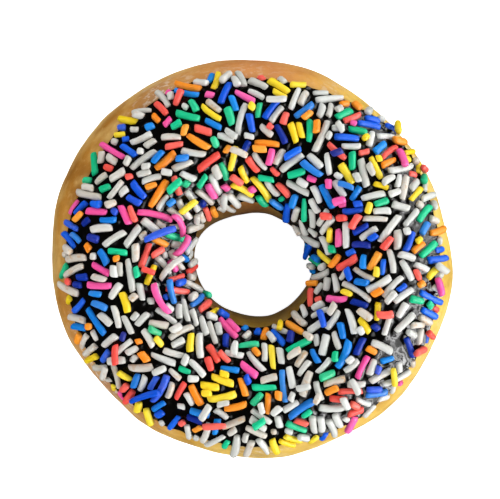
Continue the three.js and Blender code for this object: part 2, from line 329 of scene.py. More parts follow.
def section(turn, angle):
    """Section of the dough. A turn of 0 faces outwards, a quarter turn is the crown and half a turn faces
    the hole. Out is a share of the half width, up is in millimetres."""
    waist = size("waist_height")
    lift = np.sin(turn)
    depth = FOOT_PRESS * np.abs(fuller(lift, LOWER_FULLNESS))
    rise = size("crown_rise") + waves(angle, CROWN_WAVES)
    under = lift < 0
    out = np.where(under, fuller(np.cos(turn), LOWER_FULLNESS), fuller(np.cos(turn), UPPER_FULLNESS))
    up = np.where(under, waist * np.maximum(0, 1 - depth), waist + rise * fuller(lift, UPPER_FULLNESS))
    return out, up


def skin(angle, turn, height):
    """Points at a height above the dough's skin, and the way out of the skin there."""
    step = 0.001
    middle, half = ring(angle)
    out, up = section(turn, angle)
    next_out, next_up = section(turn + step, angle)
    last_out, last_up = section(turn - step, angle)
    slope = np.hypot(half * (next_out - last_out), next_up - last_up)
    away = (next_up - last_up) / slope
    rise = -half * (next_out - last_out) / slope
    radius = middle + half * out + height * away
    point = np.stack([radius * np.cos(angle), radius * np.sin(angle), up + height * rise], -1)
    normal = np.stack([away * np.cos(angle), away * np.sin(angle), rise], -1)
    return point, normal


def turn_at(angle, radius):
    """Turn of the section at a distance from the ring's axis, on the upper side."""
    middle, half = ring(angle)
    plain = fuller(np.clip((radius - middle) / half, -1, 1), 4 / UPPER_FULLNESS)  # the fullness taken off
    return np.arccos(plain)


def across(angle, share):
    """Turn at a share of the way across the frosting, from its outer edge (0) to its inner one (1)."""
    outer = turn_at(angle, size("frosting_outer") + waves(angle, FROSTING_OUTER_WAVES))
    inner = turn_at(angle, size("frosting_inner") + waves(angle, FROSTING_INNER_WAVES))
    return outer + (inner - outer) * share


def top_height(share):
    """Height of the frosting's top above the dough's skin, at a share of the way across."""
    full, edge = size("frosting_thickness"), size("edge_thickness")
    return FROSTING_GAP + full + (edge - full) * (2 * share - 1) ** 4


# ---------------------------------------------------------------- where the sprinkles lie

def draws(seed):
    """Even draws between 0 and 1, the same ones every time."""
    state = seed
    while True:
        state = (state * 48271) % 2147483647
        yield state / 2147483647


def length_of(share):
    """Length of a sprinkle at a share of the way from the longest to the shortest."""
    for (low, long), (high, short) in zip(LENGTHS, LENGTHS[1:]):
        if high > share:
            return long + (short - long) * (share - low) / (high - low)
    return LENGTHS[-1][1]


def cover(points):
    """How readily sprinkles stuck at some points, from 0 to 1."""
    share = 1.0
    for at, radius, reach in BARE:
        off = np.hypot(points[:, 0] - radius * math.cos(math.radians(at)),
                       points[:, 1] - radius * math.sin(math.radians(at)))
        share = share * (1 - BARE_LOSS * np.exp(-((off / reach) ** 2)))
    return share


def heading(share, draw):
    """Angle between a sprinkle and the slope, at a share of the way across the frosting."""
    any_way = (draw - 0.5) * math.pi
    return np.where(share < RIM_SHARE, RIM_TURN * any_way,
                    np.where(share > 1 - HOLE_SHARE, HOLE_TURN * any_way, any_way))


def rolled(draw, count):
    """Six draws for each of some tries."""
    return np.array([next(draw) for _ in range(6 * count)]).reshape(count, 6).T


def bed(share):
    """Height of what a sprinkle lies on above the dough's skin, on the frosting or beyond its edges."""
    lip = np.clip(np.minimum(share, 1 - share) / LIP_ROUND, 0, 1)
    return ON_DOUGH + (top_height(np.clip(share, 0, 1)) - ON_DOUGH) * lip


def half_across(rods):
    """How far the ends of some sprinkles are from their middles, as a share across the frosting."""
    return np.cos(rods["turn"]) * rods["length"] / 2 / ACROSS


def lying(rods):
    """Where the middle lines of some sprinkles are, from their places on the frosting."""
    angle, share, turn, loose = (rods[name] for name in ("angle", "share", "turn", "loose"))
    step = half_across(rods)
    outer, inner, middle = bed(share - step), bed(share + step), bed(share)
    ends = (outer + inner) / 2
    height = np.where(loose, np.maximum(ends, middle), top_height(share))
    tilt = np.where(middle > ends, TEETER, 1.0) * (outer - inner) / rods["length"]
    tilt = np.where(loose, tilt, 0)[:, None]
    point, normal = skin(angle, across(angle, share), height)
    round_way = np.stack([-np.sin(angle), np.cos(angle), 0 * angle], -1)
    slope = np.cross(round_way, normal)
    along = slope * np.cos(turn)[:, None] + round_way * np.sin(turn)[:, None]
    along /= np.linalg.norm(along, axis=1)[:, None]
    rods.update(centre=point + normal * (rods["radius"] - size("sunk"))[:, None],
                along=along * np.cos(tilt) + normal * np.sin(tilt),
                normal=normal * np.cos(tilt) - along * np.sin(tilt),
                reach=rods["length"] / 2 - BLUNT_END * rods["radius"])
    return rods


def laid(length, draw, count, loose=False):
    """Some tries at laying one sprinkle at drawn places on the frosting, or past its edges too if loose."""
    angle, share, thick, turn, sway, luck = rolled(draw, count)
    share = LOOSE_FROM + (LOOSE_TO - LOOSE_FROM) * share if loose else MARGIN + (1 - 2 * MARGIN) * share
    bow = BEND_SHARE * length * (2 * sway - 1) if length > BENT_FROM else 0 * sway
    thin = min(1, CRUMB_THICKNESS + THICKENING * length)
    radius = size("sprinkle_radius") * (1 + RADIUS_SPREAD * (2 * thick - 1)) * thin
    return lying({"angle": angle * 2 * math.pi, "share": share, "turn": heading(share, turn), "bow": bow,
                  "radius": radius, "luck": luck, "length": np.full(count, float(length)),
                  "loose": np.full(count, loose)})


def some(rods, which):
    """Some of the sprinkles, or one of them."""
    return {name: values[which] for name, values in rods.items()}


def copies(rod, count):
    """One sprinkle, so many times over."""
    return {name: np.repeat(np.asarray(value)[None], count, 0) for name, value in rod.items()}


class Pile:
    """Sprinkles that lie already, with their middle lines kept as arrays."""

    def __init__(self, centres=np.zeros((0, 3)), alongs=np.zeros((0, 3)), ends=np.zeros((0, 2))):
        self.rods, self.centres, self.alongs, self.ends = [], centres, alongs, ends

    def add(self, rod):
        self.rods.append(rod)
        self.centres = np.vstack([self.centres, rod["centre"]])
        self.alongs = np.vstack([self.alongs, rod["along"]])
        self.ends = np.vstack([self.ends, [rod["reach"], rod["radius"]]])

    def gaps(self, rods):
        """Gap from each of some sprinkles to the nearest one of the pile, up to FAR."""
        if not len(self.centres):
            return np.full(len(rods["reach"]), FAR)
        reach, (reaches, radii) = rods["reach"][:, None], self.ends.T
        between = rods["centre"][:, None] - self.centres
        both = rods["along"] @ self.alongs.T
        first = (between * rods["along"][:, None]).sum(2)
        second = (between * self.alongs).sum(2)
        here = np.clip((both * second - first) / np.maximum(1e-9, 1 - both * both), -reach, reach)
        there = np.clip(both * here + second, -reaches, reaches)
        here = np.clip(both * there - first, -reach, reach)
        apart = between + rods["along"][:, None] * here[..., None] - self.alongs * there[..., None]
        return np.minimum(FAR, (np.sqrt((apart * apart).sum(2)) - rods["radius"][:, None] - radii).min(1))

    def near(self, rod):
        """The sprinkles that this one could meet."""
        far = np.sqrt(((self.centres - rod["centre"]) ** 2).sum(1))
        close = far < self.ends[:, 0] + rod["reach"] + MEETING
        return Pile(self.centres[close], self.alongs[close], self.ends[close])

    def hides(self, rod):
        """Whether this sprinkle would lie right along one of the pile."""
        close = np.sqrt(((self.centres - rod["centre"]) ** 2).sum(1)) < BESIDE
        return (np.abs(self.alongs[close] @ rod["along"]) > ALIGNED).any()


def over_dough(points):
    """Rough height of some points above the upper half of the dough."""
    middle, half = ring(np.arctan2(points[:, 1], points[:, 0]))
    out = np.abs(np.hypot(points[:, 0], points[:, 1]) - middle) / half
    up = np.maximum(0, points[:, 2] - size("waist_height")) / size("crown_rise")
    return half * ((out ** UPPER_FULLNESS + up ** UPPER_FULLNESS) ** (1 / UPPER_FULLNESS) - 1)


def within(rods):
    """Ends may hang over the hole here and there, but not past the outside of the dough, nor press into it.
    One end is held by the frosting."""
    room = rods["radius"] + np.where(rods["loose"], LOOSE_ROOM, DOUGH_ROOM)
    outer, inner = rods["share"] - half_across(rods), rods["share"] + half_across(rods)
    back = np.where(rods["loose"], patches(rods["angle"], KEPT_BACK), 0)
    fits = ((inner < 1 + HUNG + patches(rods["angle"], DRAPED) - back)
            & (~rods["loose"] | ((inner > HELD) & (outer < 1 - HELD))))
    for end in (-0.5, 0.5):
        tip = rods["centre"] + rods["along"] * (end * rods["length"])[:, None]
        angle, distance = np.arctan2(tip[:, 1], tip[:, 0]), np.hypot(tip[:, 0], tip[:, 1])
        fits = (fits & (distance < outside(angle)) & (distance > inside(angle) - OVERHANG)
                & (over_dough(tip) > room))
    return fits


def stays(rods):
    """Whether each of some sprinkles stays where it is laid."""
    wide = np.hypot(rods["centre"][:, 0], rods["centre"][:, 1]) / size("outer_radius")
    loss = np.where(rods["loose"], LOOSE_LOSS, STEEP_LOSS)
    steep = 1 - loss * np.maximum(0, 1 - rods["share"] / STEEP_SHARE)
    return (rods["luck"] <= wide * steep * cover(rods["centre"])) & within(rods)


def roomiest(length, pile, draw):
    """A sprinkle in the roomiest of a few places that are open to it."""
    tries = TRIES
    while True:
        rods = laid(length, draw, tries)
        gaps = np.where(stays(rods), pile.gaps(rods), NO_ROOM)
        if gaps.max() > ROOM:
            return some(rods, gaps.argmax())
        tries = 1


def nudged(rod, near, draw):
    """The sprinkle pushed and turned a little, over and over, towards more room."""
    room = NO_ROOM
    for step in PUSHES:
        rolls = 2 * rolled(draw, PUSH_TRIES) - 1
        rods = copies(rod, PUSH_TRIES)
        rods["angle"] = rods["angle"] + step * rolls[0] / np.hypot(*rod["centre"][:2])
        rods["share"] = np.clip(rods["share"] + step * rolls[1] / ACROSS, LOOSE_FROM, LOOSE_TO)
        rods["turn"] = rods["turn"] + TWIST * step * rolls[2]
        gaps = np.where(stays(lying(rods)), near.gaps(rods), NO_ROOM)
        if gaps.max() > room:
            rod, room = some(rods, gaps.argmax()), gaps.max()
        if room > TOUCH:
            break
    return rod, room


def tipped(rod, tilt):
    """The sprinkle with one end tipped up by an angle."""
    return {**rod, "along": rod["along"] * math.cos(tilt) + rod["normal"] * math.sin(tilt),
            "normal": rod["normal"] * math.cos(tilt) - rod["along"] * math.sin(tilt)}


def rested(rod, near, top, low=HIGHEST):
    """The lowest way that the sprinkle can lie on those under it, and how high that is."""
    best = None
    lifts = np.arange(0, low + LIFT_STEP, LIFT_STEP)
    for degrees in TILTS:
        tilt = math.radians(degrees)
        rods = copies(tipped(rod, tilt), len(lifts))
        height = abs(math.sin(tilt)) * rod["reach"] + lifts
        rods["centre"] = rods["centre"] + rod["normal"] * height[:, None]
        free = np.nonzero(near.gaps(rods) > TOUCH)[0]
        if not len(free) or height[free[0]] >= low:
            continue
        found = some(rods, free[0])
        if found["centre"][2] + abs(found["along"][2]) * found["reach"] + found["radius"] < top:
            best, low = found, height[free[0]]
    return best, low


def laid_down(x, y, degrees, length, bow, kind, pile, top):
    """One of the long sprinkles, on the frosting or on those that lie there already."""
    angle = np.array([math.atan2(y, x)])
    outer, inner = across(angle, 0), across(angle, 1)
    share = (turn_at(angle, math.hypot(x, y)) - outer) / (inner - outer)
    rods = lying({"angle": angle, "share": share, "turn": math.radians(degrees) - angle,
                  "bow": np.array([bow]), "radius": np.array([size("sprinkle_radius")]),
                  "luck": np.zeros(1), "length": np.array([length]), "loose": np.array([True])})
    rod = some(rods, 0)
    rod, _ = rested(rod, pile.near(rod), top, LAID_HIGHEST)
    return rod and {**rod, "kind": kind}


def filled_in(length, pile, draw, top, crossing):
    """A sprinkle that lies free, or is nudged into a gap, or else rests across the others."""
    rods = laid(length, draw, LOOSE_TRIES, loose=True)
    rods = some(rods, np.nonzero(stays(rods))[0][:PLACES if length > SHORT else 3 * PLACES])
    if not len(rods["reach"]):
        return None
    gaps = pile.gaps(rods)
    free = np.nonzero(gaps > TOUCH)[0]
    if len(free) and not crossing:
        return some(rods, free[0])
    spare, low = None, math.inf if crossing else PILED
    order = np.nonzero(gaps < CROSSED)[0] if crossing else np.argsort(-gaps)
    for which in order[:REST_TRIES]:
        rod = some(rods, which)
        near = pile.near(rod)
        if crossing and near.hides(rod):
            continue
        if not crossing:
            rod, room = nudged(rod, near, draw)
            if room > TOUCH:
                return rod
        tried, height = rested(rod, near, top)
        if tried and height < low:
            spare, low = tried, height
    return spare


@lru_cache(maxsize=1)
def strewn():
    """Every sprinkle: the longest lie in the roomiest places, a few are laid one by one, and the rest fill in
    or lie across them."""
    draw, pile = draws(SEED), Pile()
    top = CAD_BOX[1][2] / MM * TOP_SHARE
    for number in range(MODELLED):
        pile.add(roomiest(length_of(number / SPRINKLES), pile, draw))
    for row in LAID:
        rod = laid_down(*row, pile, top)
        if rod:
            pile.add(rod)
    for number in range(MODELLED, bpy.context.scene.doughnut_sizes.sprinkles):
        length = length_of(number / SPRINKLES)
        if number % LONG_ONE_IN == 0:
            length += LONGER * next(draw)
        crossing = length > SHORT and number % CROSSING_ONE_IN == CROSSING_AT
        rod = filled_in(length, pile, draw, top, crossing)
        if rod:
            pile.add(rod)
    return pile.rods


# ---------------------------------------------------------------- meshes

def meshed(name, bm):
    """The bmesh made a mesh of this name."""
    mesh = bpy.data.meshes.new(name)
    bm.to_mesh(mesh)
    bm.free()
    return mesh


def placed(name, data):
    """An object in the scene with this mesh, light or camera."""
    thing = bpy.data.objects.new(name, data)
    bpy.context.scene.collection.objects.link(thing)
    return thing


def new_piece(name, bm, material, slot, *nodes):
    """A finished piece that rides on the doughnut and stands for CAD nodes."""
    mesh = meshed(name, bm)
    mesh.shade_smooth()
    mesh.materials.append(material)
    piece = placed(name, mesh)
    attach(piece, "root")
    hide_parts(*nodes)


def spin_round(bm, steps):
    """Turn what the bmesh holds a full turn about the Z axis."""
    bmesh.ops.spin(bm, geom=bm.verts[:] + bm.edges[:], cent=(0, 0, 0), axis=(0, 0, 1), angle=2 * math.pi,
                   steps=steps, use_merge=True)
    bmesh.ops.recalc_face_normals(bm, faces=bm.faces)


def places(bm):
    """Angle round the axis, distance from it and height of every vertex."""
    points = np.array([v.co for v in bm.verts])
    return np.arctan2(points[:, 1], points[:, 0]), np.hypot(points[:, 0], points[:, 1]), points[:, 2]


def put(bm, points):
    """Move every vertex to its point, given in mm."""
    for vert, point in zip(bm.verts, points):
        vert.co = Vector(point) * MM


def lumps(points, layers):
    """Smooth unevenness of the skin or the frosting at some points."""
    total = 0
    for height, wide, seed in layers:
        shift = Vector((seed * 7.3, seed * 3.1, seed * 5.7))  # far enough for the layers to differ
        even = np.array([noise.noise(Vector(p) / wide + shift) for p in points])
        total = total + height * (even * 1.6)  # the noise spans about 0.6 either way
    return total


def dough_marks(angle, turn):
    """Where the skin is golden, browned, glazed and so on, and how much painted shade darkens it beside the
    frosting and in the hole, for every vertex.
    """
    down = (across(angle, 0.0) - turn) * ring(angle)[1]  # mm down the slope from the frosting
    in_hole = np.clip((np.abs(turn) - WALL_FROM * math.pi) / (WALL_OVER * math.pi), 0, 1)
    return {
        "glazed": patches(angle, GLAZED) * np.exp(-((down / GLAZE_WIDTH) ** 2)),
        "golden": patches(angle, GOLDEN),
        "ruddy": patches(angle, RUDDY),
        "browned": patches(angle, BROWNED),
        # painted shadow beside the frosting's edge, and painted shade with somewhat browner skin down the
        # wall of the hole
        "edge_and_hole_shade": np.maximum(np.exp(-np.abs(down) / EDGE_SHADE_WIDTH), HOLE_SHADE * in_hole),
    }


def dough_mesh():
    """The section is a circle, turned round the axis and then given its true outline, crown and foot."""
    middle = 2.0  # of the plain ring's section, whose radius is 1
    bm = bmesh.new()
    bmesh.ops.create_circle(bm, segments=DOUGH_POINTS, radius=1)
    bmesh.ops.rotate(bm, verts=bm.verts, cent=(0, 0, 0), matrix=Matrix.Rotation(math.pi / 2, 3, "X"))
    bmesh.ops.translate(bm, verts=bm.verts, vec=(middle, 0, 0))
    spin_round(bm, DOUGH_STEPS)
    angle, radius, height = places(bm)
    turn = np.arctan2(height, radius - middle)
    plain, _ = skin(angle, turn, 0)
    free = np.clip(plain[:, 2] / FOOT_FREE, 0, 1)
    relief = np.clip((lumps(plain, DOUGH_LUMPS) - DOUGH_SUNK) * free, DOUGH_LOWEST, DOUGH_HIGHEST)
    put(bm, skin(angle, turn, relief)[0])
    marks = dough_marks(angle, turn)
    layers = {name: bm.verts.layers.float.new(name) for name in marks}
    along = bm.verts.layers.float_vector.new("drawn")
    drawn = MM * np.stack([DRAWN_OUT * np.cos(angle), DRAWN_OUT * np.sin(angle), turn * ring(angle)[1]], -1)
    for i, vert in enumerate(bm.verts):
        vert[along] = Vector(drawn[i])
        for name, layer in layers.items():
            vert[layer] = marks[name][i]
    return bm


def menisci(points):
    """How far the frosting climbs up the sprinkles that lie in it."""
    rise = np.zeros(len(points))
    for rod in strewn():
        close = np.abs(points - rod["centre"]).max(1) < rod["length"] / 2 + CLIMB_REACH
        away = points[close] - rod["centre"]
        along = np.clip(away @ rod["along"], -rod["length"] / 2, rod["length"] / 2)
        gap = np.linalg.norm(away - along[:, None] * rod["along"], axis=1) - rod["radius"]
        rise[close] = np.maximum(rise[close], CLIMB * np.exp(-np.maximum(0, gap) / CLIMB_WIDTH))
    return rise


def frosting_mesh():
    """A closed strip, 1 unit for the whole way across, turned round the axis and laid over the crown."""
    bm = bmesh.new()
    bottom = [bm.verts.new((x, 0, 0)) for x in (1, 2)]
    top = [bm.verts.new((x, 0, 1)) for x in (1, 2)]
    upper = bm.edges.new(top)
    lower = bm.edges.new(bottom)
    for low, high in zip(bottom, top):
        bm.edges.new((low, high))
    bmesh.ops.subdivide_edges(bm, edges=[upper], cuts=FROSTING_CUTS)
    bmesh.ops.subdivide_edges(bm, edges=[lower], cuts=1)
    spin_round(bm, FROSTING_STEPS)
    bmesh.ops.subdivide_edges(bm, edges=bm.edges[:], cuts=FROSTING_GRID, use_grid_fill=True)
    angle, radius, level = places(bm)
    even, on_top = radius - 1, level > 0.5
    share = np.clip(even - LIP_FINE * np.sin(2 * math.pi * even) * on_top, 0, 1)
    edge = np.clip(np.minimum(share, 1 - share) / LIP_ROUND, 0, 1)
    lip = np.sqrt(1 - (1 - edge) ** 2)
    thickness = (top_height(share) - FROSTING_BASE) * (LIP_START + (1 - LIP_START) * lip)
    height = np.where(on_top, FROSTING_BASE + thickness, FROSTING_BASE)
    turn = across(angle, share)
    plain, _ = skin(angle, turn, height)
    relief = lumps(plain, FROSTING_LUMPS) + menisci(plain)
    put(bm, skin(angle, turn, height + np.where(on_top, relief * lip, 0))[0])
    return bm


def rod_mesh():
    """A plain sprinkle of radius 1 from -1 to 1, with blunt rounded ends."""
    bm = bmesh.new()
    bmesh.ops.create_cone(bm, cap_ends=True, segments=ROD_SIDES, radius1=1, radius2=1, depth=2)
    rims = [e for e in bm.edges if e.verts[0].co.z * e.verts[1].co.z > 0]
    bmesh.ops.bevel(bm, geom=rims, affect="EDGES", offset=ROD_ROUNDING, segments=2, profile=0.5, material=-1)
    for height in ROD_RINGS:
        bmesh.ops.bisect_plane(bm, geom=bm.verts[:] + bm.edges[:] + bm.faces[:], plane_co=(0, 0, height),
                               plane_no=(0, 0, 1))
    return meshed("sprinkle", bm)


def shaped(points, rod, draw):
    """The plain sprinkle's points moved to one sprinkle's size, bow, unevenness and place, in mm."""
    x, y, z = points.T
    half, radius, at_end = rod["length"] / 2, rod["radius"], np.abs(z) > ROD_END
    stretch = np.where(at_end, np.sign(z) * (half - (1 - np.abs(z)) * radius),
                       z / ROD_END * (half - (1 - ROD_END) * radius))
    along = stretch / half
    taper = 1 + TAPER * (next(draw) - 0.5) * along + BELLY * (next(draw) - 0.5) * np.cos(math.pi * along)
    oval = 1 + OVAL * (next(draw) - 0.5)
    slant = SLANT * (next(draw) - 0.5)
    bow = rod["bow"] or SLIGHT_BOW * rod["length"] * (next(draw) - 0.5)
    side = radius * x * taper * oval + bow * (0.5 - along ** 2)
    up = radius * y * taper / oval
    stretch = stretch + slant * side * at_end
    sideways = np.cross(rod["along"], rod["normal"])
    return (rod["centre"] + side[:, None] * sideways + stretch[:, None] * rod["along"]
            + up[:, None] * rod["normal"])


def kind_at(pick):
    """The kind of sprinkle that a draw falls on."""
    for name, share, *_ in KINDS:
        pick -= share
        if pick < 0:
            break
    return name


def sprinkle_meshes():
    """One joined mesh for each colour. Each sprinkle has a tone and a stain of its own, and is marked where
    painted shade darkens its lower sides."""
    master = rod_mesh()
    plain = np.array([v.co for v in master.vertices])
    # painted shade: how much each point of the plain sprinkle is darkened, its lower sides most
    low_shade = np.clip((SHADE_FROM - plain[:, 1]) / SHADE_OVER, 0, 1)
    draw = draws(SEED + 7)
    meshes = {name: bmesh.new() for name, *_ in KINDS}
    for bm in meshes.values():
        for mark in ROD_MARKS:
            bm.verts.layers.float.new(mark)
    for rod in strewn():
        pick = next(draw)
        name = rod.get("kind") or kind_at(pick)
        bm = meshes[name]
        bm.from_mesh(master)
        bm.verts.ensure_lookup_table()
        layers = [bm.verts.layers.float[mark] for mark in ROD_MARKS]
        tone, stain = next(draw), next(draw) ** STAIN_POWER * (1 if name == "white" else STAIN_SHOWS)
        if name == "white":
            # the white ones are also tinted towards the crumb colour round some angles, near the outer edge
            stain = max(stain, patches(rod["angle"], WARM_WHITES) * max(0, 1 - rod["share"] / WARM_WHITES_SHARE))
        for vert, point, depth in zip(bm.verts[-len(plain):], shaped(plain, rod, draw), low_shade):
            vert.co = Vector(point) * MM
            for layer, value in zip(layers, (tone, stain, depth)):
                vert[layer] = value
    bpy.data.meshes.remove(master)
    return meshes


# ---------------------------------------------------------------- materials

# A Mix node's sockets for colours, which have the same names as its other ones
MIX_UNDER, MIX_OVER, MIXED = 6, 7, 2


def feed(tree, made, inputs):
    """Give a node its inputs, each a value or an output of another node."""
    for name, value in inputs.items():
        if isinstance(value, bpy.types.NodeSocket):
            tree.links.new(value, made.inputs[name])
        else:
            made.inputs[name].default_value = value


def node(tree, kind, inputs, output=0, stops=(), **settings):
    """Add a shader node and give one of its outputs. Settings go on the node itself, stops on its ramp."""
    made = tree.nodes.new("ShaderNode" + kind)
    for name, value in settings.items():
        setattr(made, name, value)
    feed(tree, made, inputs)
    for i, (place, colour) in enumerate(stops):
        stop = made.color_ramp.elements[i] if i < 2 else made.color_ramp.elements.new(place)
        stop.position, stop.color = place, colour
    return made.outputs[output]


def new_material(name):
    """A material with its tree, shader and object coordinates."""
    material = bpy.data.materials.new(name)
    material.use_nodes = True
    tree = material.node_tree
    here = node(tree, "TexCoord", {}, "Object")
    return material, tree, tree.nodes["Principled BSDF"], here


def per_mm(wide):
    """Scale of a pattern whose features are this many millimetres, on coordinates in metres."""
    return 1 / (wide * MM)


def pale_band(tree, here, wander):
    """How pale the skin is round the waist, in a band that wanders up and down."""
    height = node(tree, "SeparateXYZ", {"Vector": here}, "Z")
    wander = node(tree, "Math", {0: wander, 1: BAND_WANDER * MM}, operation="MULTIPLY")
    height = node(tree, "Math", {0: height, 1: wander}, operation="ADD")
    share = node(tree, "MapRange", {"Value": height, "From Min": BAND[0] * MM, "From Max": BAND[1] * MM})
    return node(tree, "ValToRGB", {"Fac": share},
                stops=[(place, (pale, pale, pale, 1)) for place, pale in BAND_PALENESS])


def skin_colour(tree, here, patterns):
    """Browned skin, with what the frying and the glaze did to it laid over it in turn, and last the painted
    shade beside the frosting and in the hole.
    """
    colours = bpy.context.scene.doughnut_colours
    marks = {name: node(tree, "Attribute", {}, "Fac", attribute_name=name)
             for name in ("golden", "browned", "ruddy", "glazed", "edge_and_hole_shade")}
    # how much each pattern shows: not at all where it is low, most where it is high
    shown = {}
    for name, pattern, low, high, most in (
            ("browning", "browning", 0.42, 0.68, 0.5), ("pale blotches", "blotches", 0.5, 0.7, 0.42),
            ("dark blotches", "blotches", 0.48, 0.3, 0.38), ("dark mottle", "mottle", 0.5, 0.72, 0.26),
            ("pale mottle", "mottle", 0.44, 0.3, 0.22), ("flakes", "flakes", 0.53, 0.62, 0.75)):
        shown[name] = node(tree, "MapRange", {
            "Value": patterns[pattern], "From Min": low, "From Max": high, "To Max": most})
    browned = node(tree, "Math", {0: shown["browning"], 1: marks["browned"]}, operation="ADD")
    band = pale_band(tree, here, patterns["wander"])
    # a film of dried glaze, with flakes where it broke up
    film = node(tree, "Math", {0: shown["flakes"], 1: 0.16}, operation="ADD")
    film = node(tree, "Math", {0: marks["glazed"], 1: film}, operation="MULTIPLY")
    # painted shadow beside the frosting's edge, and painted shade with somewhat browner skin down the wall of
    # the hole
    painted_shade = node(tree, "Math", {0: marks["edge_and_hole_shade"], 1: 0.55}, operation="MULTIPLY")
    colour = colours.dough
    for amount, over in (
            (marks["golden"], colours.dough_gold), (browned, colours.dough_dark), (band, colours.dough_pale),
            (shown["pale blotches"], colours.dough_pale), (shown["dark blotches"], colours.dough_dark),
            (shown["dark mottle"], colours.dough_dark), (shown["pale mottle"], colours.dough_pale),
            (marks["ruddy"], colours.dough_ruddy), (film, colours.glaze), (painted_shade, colours.dough_shade)):
        colour = node(tree, "Mix", {"Factor": amount, MIX_UNDER: colour, MIX_OVER: over}, MIXED,
                      data_type="RGBA")
    return colour


def fried_dough():
    """Yeast dough fried in fat: a thin dry skin with a greasy satin sheen, mottled by fine bubbles, paler
    where it floated clear of the fat."""
    material, tree, shader, here = new_material("Fried yeast dough, satin skin")
    drawn = node(tree, "Attribute", {}, "Vector", attribute_name="drawn")
    patterns = {}
    for name, where, wide, detail, roughness in (
            ("browning", here, 16, 2, 0.5), ("wander", here, 14, 2, 0.5), ("blotches", drawn, 6, 2, 0.5),
            ("mottle", here, 1.7, 5, 0.65), ("flakes", drawn, 1.1, 3, 0.5), ("bubbles", here, 0.9, 4, 0.5)):
        patterns[name] = node(tree, "TexNoise", {
            "Vector": where, "Scale": per_mm(wide), "Detail": detail, "Roughness": roughness})
    blisters = node(tree, "TexVoronoi", {"Vector": here, "Scale": per_mm(2.4)}, feature="SMOOTH_F1")
    sheen = node(tree, "MapRange", {"Value": patterns["mottle"], "To Min": 0.42, "To Max": 0.62})
    normal = {}
    for relief, strength, deep in ((patterns["mottle"], 0.4, 0.4), (patterns["bubbles"], 0.3, 0.15),
                                   (blisters, 0.25, 0.3)):  # deep is in mm
        normal = {"Normal": node(tree, "Bump", {"Height": relief, "Strength": strength,
                                                "Distance": deep * MM, **normal})}
    feed(tree, shader, {"Base Color": skin_colour(tree, here, patterns), "IOR": 1.45,
                        "Specular IOR Level": 0.22, "Roughness": sheen, **normal})
    return material


def chocolate_frosting():
    """Set chocolate frosting, dipped warm: nearly black, glossy, with faint dull patches and fine pits."""
    colours = bpy.context.scene.doughnut_colours
    material, tree, shader, here = new_material("Chocolate frosting, dipped and set glossy")
    dull = node(tree, "TexNoise", {"Vector": here, "Scale": per_mm(6), "Detail": 3})
    sheen = node(tree, "MapRange", {"Value": dull, "From Min": 0.35, "From Max": 0.65,
                                    "To Min": 0.08, "To Max": 0.24})
    pits = node(tree, "TexNoise", {"Vector": here, "Scale": per_mm(0.8), "Detail": 3})
    bump = node(tree, "Bump", {"Height": pits, "Strength": 0.5, "Distance": 0.14 * MM})
    feed(tree, shader, {"Base Color": colours.frosting, "IOR": 1.4, "Specular IOR Level": 0.3,
                        "Coat Weight": 0.3, "Coat IOR": 1.5, "Coat Roughness": 0.05, "Roughness": sheen,
                        "Normal": bump})
    return material


def sugar_rod(name, colour, lighter):
    """Pressed sugar rod in a thin wax: matt with a soft sheen, slightly uneven in tone and surface."""
    material, tree, shader, here = new_material(f"Sugar sprinkle, {name.replace('_', ' ')}, waxed")
    tone, stain, low_shade = (node(tree, "Attribute", {}, "Fac", attribute_name=mark) for mark in ROD_MARKS)
    cloud = node(tree, "TexNoise", {"Vector": here, "Scale": per_mm(1.1), "Detail": 3})
    tone = node(tree, "Mix", {"Factor": 0.35, "A": tone, "B": cloud})
    body = node(tree, "Mix", {"Factor": tone, MIX_UNDER: linear(colour), MIX_OVER: linear(lighter)},
                MIXED, data_type="RGBA")
    # fat and dough crumbs that stuck to it
    crumbs = node(tree, "TexNoise", {"Vector": here, "Scale": per_mm(1.3), "Detail": 2})
    crumbs = node(tree, "MapRange", {"Value": crumbs, "From Min": 0.57, "From Max": 0.64, "To Max": 0.45})
    film = node(tree, "Math", {0: crumbs, 1: 0.3}, operation="ADD")
    film = node(tree, "Math", {0: stain, 1: film}, operation="MULTIPLY")
    body = node(tree, "Mix", {"Factor": film, MIX_UNDER: body, MIX_OVER: linear(STUCK_CRUMBS)},
                MIXED, data_type="RGBA")
    # less light gets down to where it is buried
    deep = node(tree, "Math", {0: low_shade, 1: 1.6}, operation="POWER")
    deep = node(tree, "Math", {0: deep, 1: 0.62}, operation="MULTIPLY")
    body = node(tree, "Mix", {"Factor": deep, MIX_UNDER: body, MIX_OVER: linear(PAINTED_SHADE)},
                MIXED, data_type="RGBA", blend_type="MULTIPLY")
    # sugar grains, drawn coarser than they are so that they show
    grain = node(tree, "TexNoise", {"Vector": here, "Scale": per_mm(0.45), "Detail": 2})
    bump = node(tree, "Bump", {"Height": grain, "Strength": 0.3, "Distance": 0.12 * MM})
    feed(tree, shader, {"Base Color": body, "IOR": 1.45, "Specular IOR Level": 0.25, "Roughness": 0.4,
                        "Normal": bump})
    return material


def pale_floor():
    """A white acrylic sheet, lit softly from below."""
    material, tree, shader, _ = new_material("White acrylic, satin")
    feed(tree, shader, {"Base Color": linear(FLOOR_WHITE), "Roughness": 0.6,
                        "Emission Color": (1, 1, 1, 1), "Emission Strength": 0.9})
    return material


# ---------------------------------------------------------------- operators

class DOUGHNUT_OT_dough(bpy.types.Operator):
    """Make the fried dough ring"""
    bl_idname = "doughnut.dough"
    bl_label = "Dough ring"

    def execute(self, context):
        new_piece("dough_ring", dough_mesh(), fried_dough(), "fried_dough", "dough")
        return {"FINISHED"}


class DOUGHNUT_OT_frosting(bpy.types.Operator):
    """Make the chocolate frosting over the crown"""
    bl_idname = "doughnut.frosting"
    bl_label = "Chocolate frosting"

    def execute(self, context):
        new_piece("frosting_skin", frosting_mesh(), chocolate_frosting(), "chocolate_frosting", "frosting")
        return {"FINISHED"}


